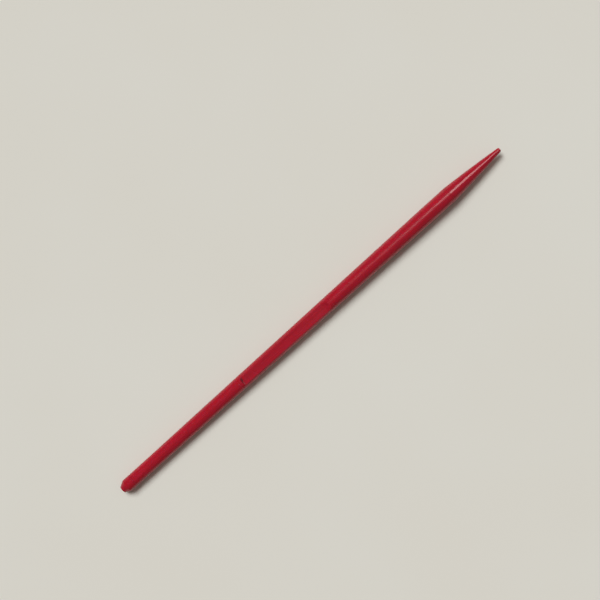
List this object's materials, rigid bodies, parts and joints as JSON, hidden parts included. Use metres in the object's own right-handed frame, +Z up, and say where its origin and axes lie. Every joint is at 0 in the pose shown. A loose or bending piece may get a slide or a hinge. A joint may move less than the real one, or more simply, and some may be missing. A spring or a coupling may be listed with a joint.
{
  "type": "pencil fishing float",
  "caption": "Slim hollow plastic pencil float with a pointed sight tip, a flatted centre sleeve and a ballasted tail plug, held on the line by silicone sleeves.",
  "frame": {"origin": "under the middle of the float's length, on the surface that it lies on", "axes": "+X along the float from the blunt tail to the pointed sight tip, +Z up out of the upper flat of the centre sleeve, +Y to the left when looking along +X"},
  "size_m": [0.15, 0.0052, 0.0051],
  "materials": {
    "red_plastic": "moulded, glossy, coloured through",
    "seal_rubber": "moulded, satin",
    "ballast_brass": "turned, bright"
  },
  "bodies": {
    "body": {"upper_tube": "red_plastic", "centre_sleeve": "red_plastic", "lower_tube": "red_plastic"},
    "tip": {"sight_tip": "red_plastic", "tip_seal": "seal_rubber"},
    "tail": {"tail_plug": "red_plastic", "tail_seal": "seal_rubber", "ballast_rod": "ballast_brass"}
  },
  "joints": [
    {"name": "tip_pull", "type": "slide", "parent": "body", "child": "tip", "axis": [1, 0, 0], "range_m": [0, 0.011]},
    {"name": "tail_pull", "type": "slide", "parent": "body", "child": "tail", "axis": [-1, 0, 0], "range_m": [0, 0.023]}
  ]
}
